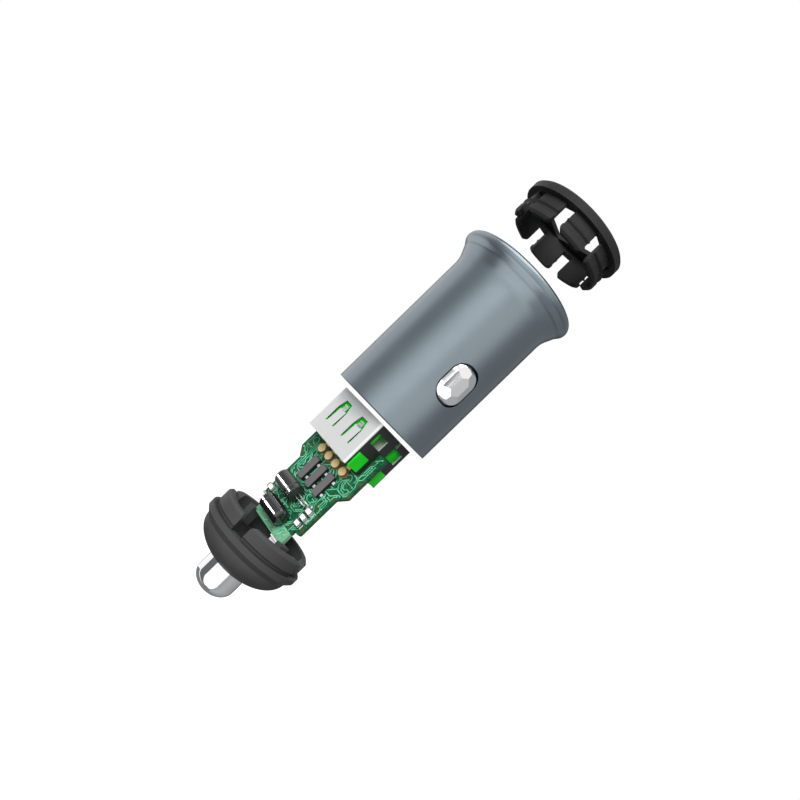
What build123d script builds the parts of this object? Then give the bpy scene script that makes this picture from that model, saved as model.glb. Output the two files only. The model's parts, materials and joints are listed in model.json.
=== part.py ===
from build123d import *
import math
import os

# A dual-port car charger plug, shown pulled apart along its axis, in millimetres.
# The origin is the centre of the metal barrel's lower end, and +Z runs along the axis to the port face.
# Every piece is drawn in its assembled place first. The core and the cap are then pulled out of the barrel.

# How far the two pulled-out groups stand from their assembled places
core_out = 31.3
cap_out = 15.1

# Barrel, a thin turned sleeve with a flared mouth
barrel_radius = 10.5
barrel_wall = 0.55
barrel_length = 34.9
lip_radius = 12.45
lip_round = 1.3
lip_angle = 38.0
flare_radius = 11.7
flare_angle = 24.0
flare_fillet = 5.0
edge_break = 0.15

# Slots for the side contacts, cut square through the barrel
slot_width = 6.2
slot_height = 8.1
slot_corner = 2.8
slot_middle = 12.6
contact_azimuth_left = 250.5
contact_azimuth_right = 70.5

# Side contacts, spring-loaded buttons that stand out of the slots
slot_gap = 0.17
contact_stand = 0.78
contact_flange_lip = 0.45
contact_flange_thickness = 0.5
contact_crown_width = 2.15
contact_crown_height = 4.2
contact_crown_slant = 0.85
contact_facet_slope = 25.0
contact_rim_slope = 45.0

# Leaf springs behind the side contacts
leaf_width = 3.0
leaf_thickness = 0.25
leaf_foot = 2.2
leaf_ramp = 2.0
leaf_overhang = 0.5

# Fits between the pieces
bore_clearance = 0.1
seat_gap = 0.05
wall_gap = 0.12
cut_margin = 1.0

# Cap, the moulded face with its snap legs
cap_radius = 10.68
cap_thickness = 1.65
cap_face_thickness = 0.8
cap_recess = 1.2
cap_edge = 0.3
leg_count = 8
leg_length = 4.5
leg_thickness = 1.3
leg_gap_angle = 12.0
leg_bead_depth = 2.1
leg_bead_half = 0.35
leg_neck_step = 0.4
leg_pad_depth = 3.2
leg_pad_chamfer = 0.45
leg_corner = 0.9
port_window_gap = 0.15

# Nose, the moulded dome that closes the lower end
nose_radius = 10.4
nose_flange = 1.1
nose_bevel_width = 1.0
nose_bevel_height = 1.1
dome_height = 5.2
collar_height = 3.25
collar_wall = 1.5
collar_bead_step = 0.3
collar_base_step = 0.5
collar_mouth_step = 0.75
collar_bead_top = 2.8
collar_bead_bottom = 0.75
nose_floor_drop = 0.9
notch_count = 4
notch_width = 2.4
notch_round = 0.95
notch_azimuth = 22.5
guide_block_width = 2.3
guide_grip = 0.4
guide_reach = 1.1

# Tip pin, its spring and the terminal that the spring presses on
tip_radius = 4.0
tip_reach = 13.0
tip_round_height = 2.9
tip_gap = 0.08
tip_head_step = 0.8
tip_head_thickness = 0.9
tip_ledge_drop = 6.1
tip_socket_radius = 3.1
tip_socket_depth = 2.0
spring_radius = 2.5
spring_wire = 0.5
spring_turns = 5
terminal_thickness = 0.3
terminal_radius = 6.6
terminal_tab_width = 2.7
terminal_tab_left = 1.9

# Circuit board, standing on the axis with its parts side facing -Y
board_thickness = 0.8
board_half = 8.32
board_top = 26.5
board_shoulder = 17.1
board_waist_half = 6.6
board_waist_top = 15.35
board_waist_bottom = 6.4
board_tongue_half = 5.1
board_bottom = 2.87
board_corner = 0.5

# Stacked receptacle of two ports
port_width = 12.1
port_height = 5.15
port_divider = 0.5
shell_wall = 0.2
shell_round = 0.5
shell_front = 30.45
shell_depth = 9.15
spring_window_offset = 2.6
spring_head_width = 1.75
spring_foot_width = 2.65
spring_head_behind = 1.5
spring_tip_behind = 3.2
spring_foot_behind = 6.5
spring_slit = 0.42
spring_bend = 4.0
side_window_low = 3.75
side_window_high = 1.5
side_window_width = 3.2
side_notch_width = 0.75
side_notch_depth = 1.25
insulator_base = 3.1
insulator_gap = 0.04
insulator_boss_width = 2.9
insulator_boss_shift = 0.4
insulator_boss_stand = 0.3
insulator_tongue_width = 11.0
insulator_tongue_thickness = 1.85
insulator_tongue_behind = 1.2
insulator_tongue_shift = 0.95
pin_count = 4
pin_pitch = 2.45
pin_width = 1.0
pin_thickness = 0.15
pin_tip_behind = 2.0
pin_tail_length = 2.6

# Parts on the board: places are x across the board and z along it
post_radius = 0.88
post_height = 0.7
post_round = 0.12
post_z = 19.65
post_middle = -0.1
chip_count = 3
chip_width = 1.6
chip_length = 4.8
chip_height = 0.85
chip_pitch = 2.7
chip_middle = 0.12
chip_z = 15.55
chip_leg_offset = 1.5
chip_leg_width = 0.6
chip_leg_reach = 0.35
chip_leg_thickness = 0.15
can_radius = 1.7
can_length = 5.6
can_round = 0.7
can_groove = 0.14
can_groove_back = 1.1
can_1_x = -4.67
can_1_z = 11.0
can_2_x = -2.93
can_2_z = 6.3
lead_radius = 0.18
lead_spread = 0.32
lead_reach_right = 2.8
lead_reach_left = 2.1
lead_bend = 0.6
block_width = 1.75
block_height = 0.9
block_thickness = 0.65
block_edge = 0.08
block_column_x = 4.75
block_column_top = 10.55
block_pitch = 1.4
block_column_count = 3
lone_block_x = -5.75
lone_block_z = 7.85
inductor_size = 6.0
inductor_height = 2.8
inductor_z = 10.8
inductor_corner = 0.9
diode_length = 4.2
diode_width = 2.6
diode_height = 1.9
diode_edge = 0.3
diode_z = 16.9

# Sizes worked out from the ones above
contact_azimuths = {"left": contact_azimuth_left, "right": contact_azimuth_right}
bore_radius = barrel_radius - barrel_wall
insert_radius = bore_radius - bore_clearance
mouth_radius = cap_radius + wall_gap
cap_top = barrel_length - cap_recess
cap_seat = cap_top - cap_thickness
shell_width = port_width + 2 * shell_wall
shell_height = 2 * port_height + port_divider + 2 * shell_wall
shell_back = shell_front - shell_depth
port_centre = (port_height + port_divider) / 2
board_face = board_thickness / 2
contact_flange_back = insert_radius - contact_flange_thickness
collar_bead = insert_radius - collar_bead_step + bore_clearance
collar_inner = collar_bead - collar_wall
tip_chamber = tip_radius + tip_head_step + tip_gap


def outline(*pieces):
    """Joins lines and arcs, drawn in the XZ plane as (radius, height), into one face."""
    return Plane.XZ * make_face(Curve() + list(pieces))


def turned(*pieces):
    """Turns a closed outline about the axis."""
    return revolve(outline(*pieces), Axis.Z)


def outward(azimuth, height):
    """A plane whose local z points out from the axis, local x runs round it and local y runs up it.

    The azimuth is counted from -Y towards +X.
    """
    return Plane(Pos(0, 0, height) * Rot(0, 0, azimuth) * Rot(90, 0, 0))


def block(x_low, x_high, y_low, y_high, z_low, z_high):
    """A box between two corners."""
    centre = Pos((x_low + x_high) / 2, (y_low + y_high) / 2, (z_low + z_high) / 2)
    return centre * Box(x_high - x_low, y_high - y_low, z_high - z_low)


def barrel():
    """The sleeve: straight, then flared in two slopes to a rounded lip, with two contact slots."""
    steep = math.radians(lip_angle)
    flare = math.radians(flare_angle)
    lip_centre = (lip_radius - lip_round, barrel_length - lip_round)
    lip_start = (lip_centre[0] + lip_round * math.cos(steep), lip_centre[1] - lip_round * math.sin(steep))
    lip_side = (lip_radius, lip_centre[1])
    crease = (flare_radius, lip_start[1] - (lip_start[0] - flare_radius) / math.tan(steep))
    flare_corner = crease[1] - (flare_radius - barrel_radius) / math.tan(flare)
    tangent = flare_fillet * math.tan(flare / 2)
    flare_end = (barrel_radius + tangent * math.sin(flare), flare_corner + tangent * math.cos(flare))
    sleeve = turned(
        Polyline(
            (lip_centre[0], barrel_length),
            (mouth_radius + edge_break, barrel_length),
            (mouth_radius, barrel_length - edge_break),
            (mouth_radius, cap_seat),
            (bore_radius, cap_seat),
            (bore_radius, edge_break),
            (bore_radius + edge_break, 0),
            (barrel_radius, 0),
            (barrel_radius, flare_corner - tangent),
        ),
        TangentArc((barrel_radius, flare_corner - tangent), flare_end, tangent=(0, 1)),
        Polyline(flare_end, crease, lip_start),
        ThreePointArc(lip_start, lip_side, (lip_centre[0], barrel_length)),
    )
    for azimuth in contact_azimuths.values():
        hole = outward(azimuth, slot_middle) * RectangleRounded(slot_width, slot_height, slot_corner)
        sleeve -= extrude(hole, 2 * barrel_radius)
    return sleeve


def ring(inner, outer, low, high):
    """A plain ring about the axis."""
    height = high - low
    middle = Pos(0, 0, (low + high) / 2)
    return middle * Cylinder(outer, height) - middle * Cylinder(inner, height)


def crown_outline():
    """The crown's flat top: two straight sides, with slanting ones that meet in a point at each end."""
    half = contact_crown_width / 2
    point = contact_crown_height / 2
    knee = point - contact_crown_slant
    right = [(0, point), (half, knee), (half, -knee)]
    left = [(-x, -y) for x, y in right]
    return make_face(Polyline(*right, *left, close=True))


def side_contact(azimuth):
    """A button with a faceted crown outside the slot and a curved flange inside the bore."""
    place = outward(azimuth, slot_middle)
    flange_width = slot_width + 2 * contact_flange_lip
    flange_height = slot_height + 2 * contact_flange_lip
    flange = extrude(place * RectangleRounded(flange_width, flange_height, slot_corner), 2 * barrel_radius)
    flange &= ring(contact_flange_back, insert_radius, 0, barrel_length)
    body_width = slot_width - 2 * slot_gap
    body_height = slot_height - 2 * slot_gap
    shoulder = math.sqrt(barrel_radius**2 - (body_width / 2) ** 2)
    body_face = RectangleRounded(body_width, body_height, slot_corner - slot_gap)
    body = extrude(place.offset(contact_flange_back) * body_face, shoulder - contact_flange_back)
    rise = barrel_radius + contact_stand - shoulder
    rim = extrude(place.offset(shoulder) * body_face, rise, taper=contact_rim_slope)
    crown_face = crown_outline()
    spread = rise / math.tan(math.radians(contact_facet_slope))
    wide_face = offset(crown_face, spread, kind=Kind.INTERSECTION)
    top = place.offset(shoulder + rise)
    facets = loft([place.offset(shoulder) * wide_face, top * crown_face], ruled=True)
    return flange + body + (rim & facets)


def contact_leaf(azimuth):
    """A leaf spring on the bore's wall, bowed in behind the contact's flange."""
    foot = math.sqrt(bore_radius**2 - (leaf_width / 2) ** 2) - seat_gap
    back = math.sqrt(contact_flange_back**2 - (leaf_width / 2) ** 2) - seat_gap
    reach = slot_height / 2 + contact_flange_lip + leaf_overhang
    outer = [
        (foot, -reach - leaf_ramp - leaf_foot),
        (foot, -reach - leaf_ramp),
        (back, -reach),
        (back, reach),
        (foot, reach + leaf_ramp),
        (foot, reach + leaf_ramp + leaf_foot),
    ]
    inner = [(radius - leaf_thickness, height) for radius, height in reversed(outer)]
    strip = outline(Polyline(*outer, *inner, close=True))
    strip = extrude(strip, leaf_width / 2, both=True)
    return Pos(0, 0, slot_middle) * Rot(0, 0, azimuth - 90) * strip


def rounded_mouth(width, depth, corner):
    """A notch drawn from its root up to the edge that it opens at, with the edge's corners rounded."""
    straight = Rectangle(width, depth, align=(Align.CENTER, Align.MIN))
    beyond = Pos(0, depth) * Rectangle(width + 4 * corner, corner, align=(Align.CENTER, Align.MIN))
    shape = straight + beyond
    corners = [v for v in shape.vertices() if abs(v.Y - depth) < 0.01 and abs(v.X) < width / 2 + corner / 2]
    return fillet(corners, corner)


def cap():
    """The round face, hollow below, with one window round both ports and eight snap legs."""
    leg_inner = insert_radius - leg_thickness
    neck = insert_radius - leg_neck_step
    skirt = turned(
        Polyline(
            (leg_inner, cap_seat),
            (neck, cap_seat),
            (neck, cap_seat - leg_bead_depth + leg_bead_half),
            (insert_radius, cap_seat - leg_bead_depth),
            (neck, cap_seat - leg_bead_depth - leg_bead_half),
            (neck, cap_seat - leg_pad_depth),
            (insert_radius, cap_seat - leg_pad_depth),
            (insert_radius, cap_seat - leg_length + leg_pad_chamfer),
            (insert_radius - leg_pad_chamfer, cap_seat - leg_length),
            (leg_inner, cap_seat - leg_length),
            close=True,
        )
    )
    gap_width = 2 * insert_radius * math.sin(math.radians(leg_gap_angle / 2))
    gap = rounded_mouth(gap_width, leg_length, leg_corner)
    for index in range(leg_count):
        place = outward((index + 0.5) * 360 / leg_count, cap_seat)
        skirt -= extrude(place * Rot(0, 0, 180) * gap, barrel_radius)
    face = Pos(0, 0, (cap_seat + cap_top) / 2) * Cylinder(cap_radius, cap_thickness)
    face = chamfer(face.edges().sort_by(Axis.Z)[-1], cap_edge)
    hollow_top = cap_top - cap_face_thickness
    face -= Pos(0, 0, (cap_seat + hollow_top) / 2) * Cylinder(leg_inner, hollow_top - cap_seat)
    window = RectangleRounded(
        shell_width + 2 * port_window_gap, shell_height + 2 * port_window_gap, shell_round + port_window_gap
    )
    face -= extrude(Pos(0, 0, cap_seat) * window, cap_thickness)
    return face + skirt


def nose():
    """The dome with its bevelled flange, its notched collar, the tip's chamber and the board's two seats."""
    base_radius = collar_bead - collar_base_step + collar_bead_step
    mouth = collar_bead - collar_mouth_step + collar_bead_step
    floor = -nose_floor_drop
    ledge = -tip_ledge_drop
    hole = tip_radius + tip_gap
    dome_radius = nose_radius - nose_bevel_width
    dome_level = -nose_flange - nose_bevel_height
    rim = dome_level - dome_height * math.sqrt(1 - (hole / dome_radius) ** 2)
    rim_angle = math.degrees(math.acos(hole / dome_radius))
    body = turned(
        Polyline(
            (hole, rim),
            (hole, ledge),
            (tip_chamber, ledge),
            (tip_chamber, floor),
            (collar_inner, floor),
            (collar_inner, collar_height),
            (mouth, collar_height),
            (collar_bead, collar_bead_top),
            (collar_bead, collar_bead_bottom),
            (base_radius, collar_bead_bottom - collar_base_step + collar_bead_step),
            (base_radius, 0),
            (nose_radius, 0),
            (nose_radius, -nose_flange),
            (dome_radius, dome_level),
        ),
        EllipticalCenterArc(
            (0, dome_level), dome_radius, dome_height, start_angle=-rim_angle, arc_size=rim_angle
        ),
    )
    notch = rounded_mouth(notch_width, collar_height, notch_round)
    for index in range(notch_count):
        place = outward(notch_azimuth + index * 360 / notch_count, 0)
        body -= extrude(place * notch, barrel_radius)
    for side in (-1, 1):
        near = side * (board_tongue_half - guide_grip)
        far = side * (board_tongue_half + guide_reach)
        half = guide_block_width / 2
        seat = block(min(near, far), max(near, far), -half, half, floor, collar_height)
        grip = side * (board_tongue_half + seat_gap)
        slot = board_face + seat_gap
        seat -= block(min(near, grip), max(near, grip), -slot, slot, board_bottom, collar_height + seat_gap)
        body += seat
    return body


def tip_pin():
    """The centre contact: a round-ended cup with a head that the nose's ledge holds."""
    head_low = -tip_ledge_drop + seat_gap
    head_high = head_low + tip_head_thickness
    low = -tip_reach
    shank_low = low + tip_round_height
    return turned(
        Polyline(
            (0, low),
            (0, head_high - tip_socket_depth),
            (tip_socket_radius, head_high - tip_socket_depth),
            (tip_socket_radius, head_high),
            (tip_radius + tip_head_step, head_high),
            (tip_radius + tip_head_step, head_low),
            (tip_radius, head_low),
            (tip_radius, shank_low),
        ),
        EllipticalCenterArc((0, shank_low), tip_radius, tip_round_height, start_angle=-90, arc_size=90),
    )


def tip_spring():
    """The coil that presses the tip pin out."""
    low = -tip_ledge_drop + seat_gap + tip_head_thickness - tip_socket_depth + spring_wire / 2 + seat_gap
    high = -nose_floor_drop - spring_wire / 2 - seat_gap
    height = high - low
    path = Helix(height / spring_turns, height, spring_radius)
    section = Plane(path @ 0, z_dir=path % 0) * Circle(spring_wire / 2)
    return Pos(0, 0, low) * sweep(section, path, is_frenet=True)


def tip_terminal():
    """The sheet-metal seat of the coil, with a tab that rises to the board's lower edge."""
    floor = -nose_floor_drop
    top = floor + terminal_thickness
    seat = Pos(0, 0, (floor + top) / 2) * Cylinder(terminal_radius, terminal_thickness)
    half = board_tongue_half - guide_grip - 2 * seat_gap
    seat &= block(-half, half, -terminal_radius, terminal_radius, floor, top)
    left = terminal_tab_left
    right = terminal_tab_left + terminal_tab_width
    rear = board_face
    foot = board_bottom - seat_gap
    riser = block(left, right, rear - terminal_thickness, rear, top, foot)
    pad = block(left, right, -rear, rear, foot - terminal_thickness, foot)
    return seat + riser + pad


def circuit_board():
    """The board: two arms beside the receptacle, a wide middle, a waist and a tongue."""
    arm_inner = shell_width / 2 + seat_gap
    notch = shell_back - seat_gap
    right_side = [
        (arm_inner, notch),
        (arm_inner, board_top),
        (board_half, board_top),
        (board_half, board_shoulder),
        (board_waist_half, board_waist_top),
        (board_waist_half, board_waist_bottom),
        (board_tongue_half, board_waist_bottom),
        (board_tongue_half, board_bottom),
    ]
    left_side = [(-x, z) for x, z in reversed(right_side)]
    plate = make_face(Plane.XZ * Polyline(*right_side, *left_side, close=True))
    rounded = [(board_waist_half, board_waist_bottom), (board_half, board_top)]
    corners = [v for v in plate.vertices() for x, z in rounded if abs(abs(v.X) - x) + abs(v.Z - z) < 0.01]
    plate = fillet(corners, board_corner)
    return extrude(plate, board_face, both=True)


def spring_window():
    """The opening round one spring tongue, drawn with its head at the top."""
    head = spring_head_width / 2
    foot = spring_foot_width / 2
    return make_face(Polyline(
        (-head, -spring_head_behind),
        (head, -spring_head_behind),
        (foot, -spring_tip_behind),
        (foot, -spring_foot_behind),
        (-foot, -spring_foot_behind),
        (-foot, -spring_tip_behind),
        close=True,
    ))


def shell_column(inset):
    """The receptacle's outline with its folded corners, drawn in by the inset, over the whole depth."""
    face = RectangleRounded(shell_width - 2 * inset, shell_height - 2 * inset, shell_round - inset)
    return extrude(Pos(0, 0, shell_back) * face, shell_depth)


def usb_shell():
    """The folded steel shell of the two stacked ports, with spring tongues in its wide faces."""
    shell = shell_column(0) - shell_column(shell_wall)
    divider_half = (port_width + shell_wall) / 2
    shell += block(-divider_half, divider_half, -port_divider / 2, port_divider / 2, shell_back, shell_front)
    tongue_length = spring_foot_behind - spring_tip_behind
    tongue_width = spring_foot_width - 2 * spring_slit
    for azimuth in (0, 180):
        for offset in (-spring_window_offset, spring_window_offset):
            place = outward(azimuth, shell_front) * Pos(offset, 0, shell_height / 2)
            shell -= extrude(place * spring_window(), 2 * shell_wall, both=True)
            tongue = Box(tongue_width, tongue_length, shell_wall, align=(Align.CENTER, Align.MIN, Align.MAX))
            hinge = Pos(0, -spring_foot_behind, 0) * Rot(-spring_bend, 0, 0)
            shell += place * hinge * tongue
    boss_half = insulator_boss_width / 2 + insulator_gap
    for side in (-1, 1):
        x_low, x_high = sorted((side * (port_width / 2 - shell_wall), side * shell_width))
        for row in (-1, 1):
            middle = row * port_centre
            boss_middle = middle + row * insulator_boss_shift
            shell -= block(x_low, x_high, boss_middle - boss_half, boss_middle + boss_half,
                           shell_back - cut_margin, shell_back + insulator_base + insulator_gap)
            shell -= block(x_low, x_high, middle - side_window_width / 2, middle + side_window_width / 2,
                           shell_front - side_window_low, shell_front - side_window_high)
        notch_y = port_centre / 2
        shell -= block(x_low, x_high, notch_y - side_notch_width / 2, notch_y + side_notch_width / 2,
                       shell_front - side_notch_depth, shell_front + cut_margin)
    return shell


def tongue_middle(row):
    """The level of a port's plastic tongue, off the port's middle towards the outer wall."""
    return row * (port_centre + insulator_tongue_shift)


def usb_insulator(row):
    """The moulded base that fills the rear of a port, with its bosses and the tongue in front."""
    base_half_x = port_width / 2 - insulator_gap
    base_half_y = port_height / 2 - insulator_gap
    middle = row * port_centre
    top = shell_back + insulator_base
    body = block(-base_half_x, base_half_x, middle - base_half_y, middle + base_half_y, shell_back, top)
    body &= shell_column(shell_wall + insulator_gap)
    boss = shell_width / 2 + insulator_boss_stand
    boss_low = middle + row * insulator_boss_shift - insulator_boss_width / 2
    body += block(-boss, boss, boss_low, boss_low + insulator_boss_width, shell_back + 2 * seat_gap, top)
    board_notch = board_face + seat_gap
    far = boss + cut_margin
    for left, right in ((-far, -base_half_x), (base_half_x, far)):
        body -= block(left, right, -board_notch, board_notch, shell_back - cut_margin, top + cut_margin)
    rest = tongue_middle(row)
    half_x = insulator_tongue_width / 2
    half_y = insulator_tongue_thickness / 2
    body += block(-half_x, half_x, rest - half_y, rest + half_y, top, shell_front - insulator_tongue_behind)
    pin_low = pin_level(row) - pin_thickness / 2
    for x in pin_places():
        body -= block(x - pin_width / 2, x + pin_width / 2, pin_low, pin_low + pin_thickness,
                      shell_back - cut_margin, shell_front - pin_tip_behind)
    return body


def pin_places():
    """The four pins' places across the port."""
    return [post_middle + (index - (pin_count - 1) / 2) * pin_pitch for index in range(pin_count)]


def pin_level(row):
    """The pins lie in the tongue's face that looks at the stack's middle."""
    return tongue_middle(row) - row * (insulator_tongue_thickness - pin_thickness) / 2


def usb_pins(row):
    """Four flat contact strips, each bent down behind the base to lie on the board."""
    solids = []
    level = pin_level(row)
    board_level = row * (board_face + pin_thickness / 2)
    low, high = sorted((level, board_level))
    for x in pin_places():
        left = x - pin_width / 2
        right = x + pin_width / 2
        bend = shell_back - seat_gap
        strip = block(left, right, level - pin_thickness / 2, level + pin_thickness / 2,
                      bend - pin_thickness, shell_front - pin_tip_behind)
        strip += block(left, right, low - pin_thickness / 2, high + pin_thickness / 2,
                       bend - pin_thickness, bend)
        tail_end = post_z + post_radius + seat_gap if row < 0 else shell_back - pin_tail_length
        tail_low = board_level - pin_thickness / 2
        strip += block(left, right, tail_low, tail_low + pin_thickness, tail_end, bend)
        solids.append(strip)
    return solids


def terminal_post(index):
    """A round solder post on the board's parts side."""
    x = pin_places()[index]
    post = Pos(x, -board_face - post_height / 2, post_z) * Rot(90, 0, 0) * Cylinder(post_radius, post_height)
    return fillet(post.edges().sort_by(Axis.Y)[0], post_round)


def chip_place(index):
    """Where a chip stands across the board."""
    return chip_middle + (index - (chip_count - 1) / 2) * chip_pitch


def chip(index):
    """A moulded package."""
    x = chip_place(index)
    top = -board_face - chip_height
    bottom = -board_face - chip_leg_thickness / 2
    low = chip_z - chip_length / 2
    return block(x - chip_width / 2, x + chip_width / 2, top, bottom, low, low + chip_length)


def chip_legs(index):
    """Two gull-wing legs on the chip's right side and two on its left."""
    x = chip_place(index)
    solids = []
    for side in (-1, 1):
        for step in (-1, 1):
            z = chip_z + step * chip_leg_offset
            inner = x + side * chip_width / 2
            outer = inner + side * chip_leg_reach
            x_low, x_high = sorted((inner, outer))
            middle = -board_face - chip_height / 2
            low = z - chip_leg_width / 2
            high = z + chip_leg_width / 2
            leg = block(x_low, x_high, -board_face - chip_leg_thickness, -board_face, low, high)
            knee_low, knee_high = sorted((inner, inner + side * chip_leg_thickness))
            leg += block(knee_low, knee_high, middle, -board_face, low, high)
            solids.append(leg)
    return solids


def capacitor(x, z, side):
    """A lying can from x to the right, with its crimp groove at the end that the side names."""
    groove = can_length - can_groove_back
    can = revolve(
        make_face(Curve() + [
            Polyline(
                (can_round, can_radius),
                (groove - can_groove, can_radius),
                (groove, can_radius - can_groove),
                (groove + can_groove, can_radius),
                (can_length - can_groove, can_radius),
                (can_length, can_radius - can_groove),
                (can_length, 0),
                (0, 0),
                (0, can_radius - can_round),
            ),
            RadiusArc((0, can_radius - can_round), (can_round, can_radius), can_round),
        ]),
        Axis.X,
    )
    if side < 0:
        can = Pos(can_length, 0, 0) * Rot(0, 0, 180) * can
    return Pos(x, -board_face - can_radius - seat_gap, z) * can


def lead(points, bend):
    """A round wire along a path of straight runs and arcs."""
    path = FilletPolyline(*points, radius=bend)
    return sweep(Plane(path @ 0, z_dir=path % 0) * Circle(lead_radius), path)


def capacitor_leads(x, z, side):
    """Two wires from one end of a can, bent down to the board."""
    end = x + can_length if side > 0 else x
    level = -board_face - can_radius - seat_gap
    reach = lead_reach_right if side > 0 else lead_reach_left
    solids = []
    for step in (-1, 1):
        height = z + step * lead_spread
        tip = end + side * (reach + step * lead_spread)
        route = [(end, level, height), (tip, level, height), (tip, -board_face, height)]
        solids.append(lead(route, lead_bend))
    return solids


def block_places():
    """Where the small parts stand: a column on the right and one by itself on the left."""
    levels = [block_column_top - index * block_pitch for index in range(block_column_count)]
    return [(block_column_x, z) for z in levels] + [(lone_block_x, lone_block_z)]


def smd_block(x, z):
    """A small rectangular part with two end caps drawn as one body."""
    part = block(x - block_width / 2, x + block_width / 2, -board_face - block_thickness, -board_face,
                 z - block_height / 2, z + block_height / 2)
    return chamfer(part.edges().group_by(Axis.Y)[0], block_edge)


def inductor():
    """The shielded coil of the converter, on the board's hidden side."""
    square = RectangleRounded(inductor_size, inductor_size, inductor_corner)
    return extrude(Plane.XZ.offset(-board_face) * Pos(0, inductor_z) * square, -inductor_height)


def diode():
    """The rectifier above the coil, on the board's hidden side."""
    body = block(-diode_length / 2, diode_length / 2, board_face, board_face + diode_height,
                 diode_z - diode_width / 2, diode_z + diode_width / 2)
    return chamfer(body.edges().group_by(Axis.Y)[-1], diode_edge)


def core_pieces():
    """Everything that slides out of the barrel's lower end together, apart from the tip pin."""
    pieces = {
        "nose": nose(),
        "tip_spring": tip_spring(),
        "tip_terminal": tip_terminal(),
        "circuit_board": circuit_board(),
        "usb_shell": usb_shell(),
        "usb_insulator_front": usb_insulator(-1),
        "usb_insulator_rear": usb_insulator(1),
        "usb_pins_front": usb_pins(-1),
        "usb_pins_rear": usb_pins(1),
        "capacitor_1": capacitor(can_1_x, can_1_z, 1),
        "capacitor_2": capacitor(can_2_x, can_2_z, -1),
        "capacitor_leads_1": capacitor_leads(can_1_x, can_1_z, 1),
        "capacitor_leads_2": capacitor_leads(can_2_x, can_2_z, -1),
        "inductor": inductor(),
        "diode": diode(),
    }
    for index in range(pin_count):
        pieces[f"terminal_post_{index + 1}"] = terminal_post(index)
    for index in range(chip_count):
        pieces[f"chip_{index + 1}"] = chip(index)
        pieces[f"chip_legs_{index + 1}"] = chip_legs(index)
    for index, (x, z) in enumerate(block_places()):
        pieces[f"smd_block_{index + 1}"] = smd_block(x, z)
    return pieces


def all_pieces():
    """Every node, in its pulled-apart place."""
    pieces = {"barrel": barrel()}
    for side, azimuth in contact_azimuths.items():
        pieces[f"side_contact_{side}"] = side_contact(azimuth)
        pieces[f"contact_leaf_{side}"] = contact_leaf(azimuth)
    core = core_pieces()
    core["tip_pin"] = tip_pin()
    for name, piece in core.items():
        if isinstance(piece, list):
            pieces[name] = Pos(0, 0, -core_out) * Compound(children=piece)
        else:
            pieces[name] = Pos(0, 0, -core_out) * piece
    pieces["cap"] = Pos(0, 0, cap_out) * cap()
    return pieces


os.makedirs("parts", exist_ok=True)
for node, piece in all_pieces().items():
    export_step(piece, f"parts/{node}.step")
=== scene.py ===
import json
import math
import random

import bmesh
import bpy
from mathutils import Matrix, Vector


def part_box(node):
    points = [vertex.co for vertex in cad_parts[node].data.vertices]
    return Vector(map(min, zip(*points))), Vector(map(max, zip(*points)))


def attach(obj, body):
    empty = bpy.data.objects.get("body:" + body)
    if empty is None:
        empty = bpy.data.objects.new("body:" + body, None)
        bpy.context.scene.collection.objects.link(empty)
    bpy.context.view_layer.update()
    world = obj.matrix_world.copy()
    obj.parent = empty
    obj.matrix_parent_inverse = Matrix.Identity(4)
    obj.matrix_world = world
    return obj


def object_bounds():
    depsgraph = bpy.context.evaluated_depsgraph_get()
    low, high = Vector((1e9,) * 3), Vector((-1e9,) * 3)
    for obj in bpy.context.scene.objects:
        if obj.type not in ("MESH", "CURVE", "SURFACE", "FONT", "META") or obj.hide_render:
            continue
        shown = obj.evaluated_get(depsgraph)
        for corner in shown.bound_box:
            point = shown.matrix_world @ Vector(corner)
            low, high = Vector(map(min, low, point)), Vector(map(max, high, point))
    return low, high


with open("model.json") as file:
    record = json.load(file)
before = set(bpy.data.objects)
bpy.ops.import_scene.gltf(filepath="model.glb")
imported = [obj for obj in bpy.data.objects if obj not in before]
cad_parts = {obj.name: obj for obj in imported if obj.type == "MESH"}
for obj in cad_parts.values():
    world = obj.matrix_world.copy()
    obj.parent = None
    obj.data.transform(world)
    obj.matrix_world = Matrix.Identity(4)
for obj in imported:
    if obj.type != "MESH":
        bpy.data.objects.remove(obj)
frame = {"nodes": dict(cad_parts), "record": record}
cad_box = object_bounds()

# A dual-port car charger plug, pulled apart along its axis. Lengths are in metres, +Z runs along the axis.
MM = 0.001
nodes = frame["nodes"]
board_low, board_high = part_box("circuit_board")

# Where the camera stands: the photograph looks level at the axis and is rolled about the view
VIEW_AZIMUTH = math.radians(37.5)
VIEW_DISTANCE = 130.0 * MM
VIEW_SIDE = 7.15 * MM
VIEW_HEIGHT = -1.3 * MM
VIEW_ROLL = math.radians(45.8)
LENS = 32.6
SENSOR = 36.0
SHIFT_X = -0.0053
SHIFT_Y = 0.0629
CLIP_START = 5.0 * MM

# The studio: a white surround, a pale floor, and cards that stand round the axis or lie above and below it
WHITE = (1.0, 1.0, 1.0, 1.0)
WORLD_FILL = 0.26
FLOOR_COLOUR = (0.22, 0.22, 0.22, 1.0)
FLOOR_DROP = 115.0 * MM
FLOOR_SIZE = 3.0
CARD_COLOUR = (0.97, 0.99, 1.0, 1.0)
CARD_DISTANCE = 260.0 * MM
CARD_REACH = 300.0 * MM
CARD_STEP = 4.0
CARD_NEAR = 28.0 * MM
CARD_LIFT = 4.0 * MM
SPLIT_LEFT = -60.0 * MM
SPLIT_RIGHT = -75.0 * MM
SOFTBOX_LOW = 20.0 * MM
SOFTBOX_HIGH = 62.0 * MM
SOFTBOX_GAPS = ((-27.0, -24.2), (14.2, 15.05), (15.5, 15.75))
SOFTBOX_LEVEL = 0.12

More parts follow.
